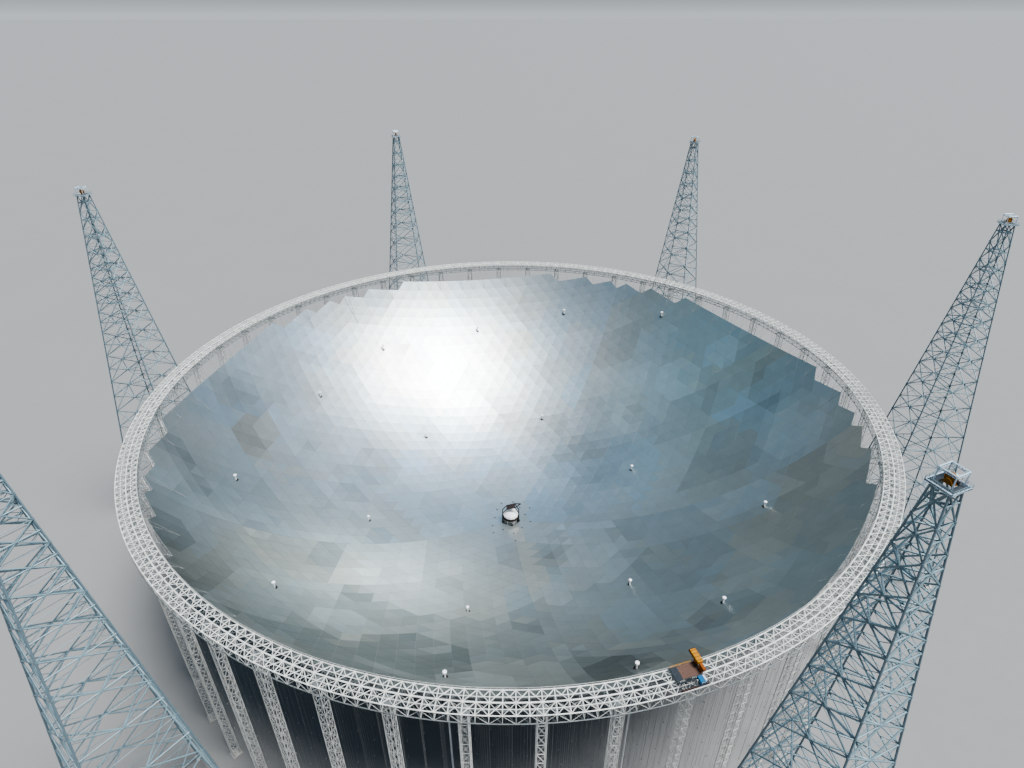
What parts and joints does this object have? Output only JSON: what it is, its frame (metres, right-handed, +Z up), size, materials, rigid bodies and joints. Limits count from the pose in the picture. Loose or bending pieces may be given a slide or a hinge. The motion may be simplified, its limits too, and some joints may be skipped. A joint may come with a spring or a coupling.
{
  "type": "radio telescope dish",
  "caption": "Fixed spherical radio telescope bowl of triangular panels in a lattice ring truss on columns, with tall lattice cable towers around it and a feed cabin at its centre.",
  "frame": {"origin": "on the ground under the middle of the bowl", "axes": "+Z up, +Y away from the picture's viewpoint, +X to its right"},
  "size_m": [33.3796, 31.8356, 14.0353],
  "materials": {
    "panel_aluminium": "perforated sheet, weathered satin",
    "white_steel": "white paint, matt",
    "blue_steel": "blue-grey paint, satin",
    "orange_paint": "orange-brown paint, satin",
    "cabin_white": "white paint, satin",
    "dark_steel": "dark brown paint, matt"
  },
  "bodies": {
    "root": {"reflector_cap": "panel_aluminium", "reflector_inner_1": "panel_aluminium", "reflector_outer_1": "panel_aluminium", "reflector_inner_2": "panel_aluminium", "reflector_outer_2": "panel_aluminium", "reflector_inner_3": "panel_aluminium", "reflector_outer_3": "panel_aluminium", "reflector_inner_4": "panel_aluminium", "reflector_outer_4": "panel_aluminium", "reflector_inner_5": "panel_aluminium", "reflector_outer_5": "panel_aluminium", "ring_segment_1": "white_steel", "ring_segment_2": "white_steel", "ring_segment_3": "white_steel", "ring_segment_4": "white_steel", "ring_segment_5": "white_steel", "ring_segment_6": "white_steel", "ring_segment_7": "white_steel", "ring_segment_8": "white_steel", "ring_segment_9": "white_steel", "ring_segment_10": "white_steel", "tower_1": "blue_steel", "tower_head_1": "white_steel", "tower_pulley_1": "orange_paint", "tower_2": "blue_steel", "tower_head_2": "white_steel", "tower_pulley_2": "orange_paint", "tower_3": "blue_steel", "tower_head_3": "white_steel", "tower_pulley_3": "orange_paint", "tower_4": "blue_steel", "tower_head_4": "white_steel", "tower_pulley_4": "orange_paint", "tower_5": "blue_steel", "tower_head_5": "white_steel", "tower_pulley_5": "orange_paint", "tower_6": "blue_steel", "tower_head_6": "white_steel", "tower_pulley_6": "orange_paint", "ring_gantry": "orange_paint", "cabin_dock": "dark_steel", "feed_cabin": "cabin_white", "hoist_frame": "dark_steel", "survey_pillar_1": "cabin_white", "survey_pillar_2": "cabin_white", "survey_pillar_3": "cabin_white", "survey_pillar_4": "cabin_white", "survey_pillar_5": "cabin_white", "survey_pillar_6": "cabin_white", "survey_pillar_7": "cabin_white", "survey_pillar_8": "cabin_white", "survey_pillar_9": "cabin_white", "survey_pillar_10": "cabin_white", "survey_pillar_11": "cabin_white", "survey_pillar_12": "cabin_white", "survey_pillar_13": "cabin_white", "survey_pillar_14": "cabin_white", "survey_pillar_15": "cabin_white", "survey_pillar_16": "cabin_white", "survey_pillar_17": "cabin_white"}
  },
  "joints": []
}
